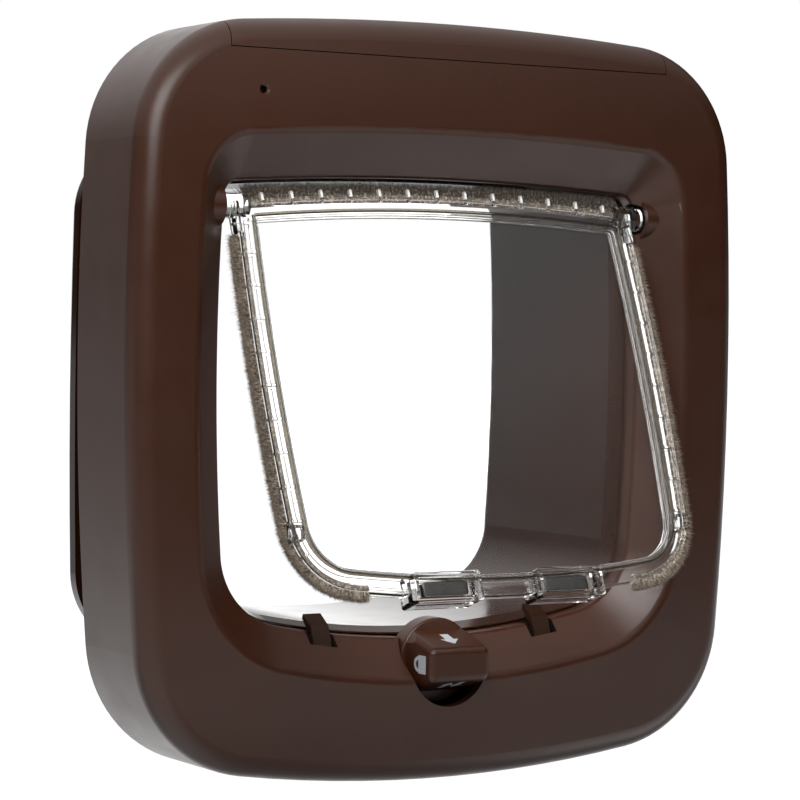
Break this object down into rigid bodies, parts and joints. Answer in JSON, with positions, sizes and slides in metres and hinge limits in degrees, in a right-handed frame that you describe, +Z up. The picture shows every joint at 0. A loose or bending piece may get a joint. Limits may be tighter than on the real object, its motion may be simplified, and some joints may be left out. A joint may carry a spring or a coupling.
{
  "type": "cat flap",
  "caption": "Door cat flap: dished indoor housing with a rotary lock, clear pivoting flap with brush seals, lock catches, and an outdoor tunnel frame screwed through the door.",
  "frame": {"origin": "centre of the housing's door-side face, in the plane of the indoor door surface", "axes": "+X to the right seen from indoors, +Y through the door to outdoors, +Z up"},
  "size_m": [0.225, 0.1341, 0.2406],
  "materials": {
    "housing_brown": "satin moulded plastic",
    "tunnel_brown": "polished moulded plastic",
    "clear_flap": "clear polished moulded plastic",
    "brush_grey": "dense nylon pile",
    "catch_black": "satin moulded plastic",
    "inner_black": "fine matt moulding",
    "screw_steel": "zinc plated",
    "cell_wrap": "printed sleeve",
    "contact_nickel": "nickel plated",
    "board_green": "solder mask",
    "light_pipe": "clear",
    "coil_copper": "enamelled copper wire",
    "button_grey": "satin"
  },
  "bodies": {
    "frame": {"front_housing": "housing_brown", "rear_cover": "inner_black", "housing_screws": "screw_steel", "exterior_frame": "tunnel_brown", "door_screws": "screw_steel", "battery_tray": "inner_black", "batteries": "cell_wrap", "battery_contacts": "contact_nickel", "control_board": "board_green", "learn_switch": "inner_black", "status_led": "light_pipe", "antenna_coil": "coil_copper", "lock_solenoid": "screw_steel", "detent_spring": "contact_nickel"},
    "battery_lid": {"battery_cover": "housing_brown"},
    "flap": {"flap_window": "clear_flap", "top_brush": "brush_grey", "left_brush": "brush_grey", "right_brush": "brush_grey"},
    "knob": {"lock_knob": "housing_brown", "detent_hub": "inner_black"},
    "catches": {"catch_bar": "catch_black", "solenoid_plunger": "screw_steel"},
    "button": {"learn_button": "button_grey"}
  },
  "joints": [
    {"name": "flap_swing", "type": "hinge", "parent": "frame", "child": "flap", "pos_m": [0, -0.0275, 0.0605], "axis": [1, 0, 0], "range_deg": [-50, 95], "deforming": ["top_brush", "left_brush", "right_brush"]},
    {"name": "knob_turn", "type": "hinge", "parent": "frame", "child": "knob", "pos_m": [0, -0.03, -0.0827], "axis": [0, 1, 0], "range_deg": [0, 270]},
    {"name": "catch_lift", "type": "slide", "parent": "frame", "child": "catches", "axis": [0, 0, 1], "range_m": [0, 0.0032]},
    {"name": "battery_cover_lift", "type": "slide", "parent": "frame", "child": "battery_lid", "axis": [0, 0, 1], "range_m": [0, 0.035]},
    {"name": "learn_button_press", "type": "slide", "parent": "frame", "child": "button", "axis": [0, 0, -1], "range_m": [0, 0.001], "stiffness_N_per_m": 300}
  ]
}
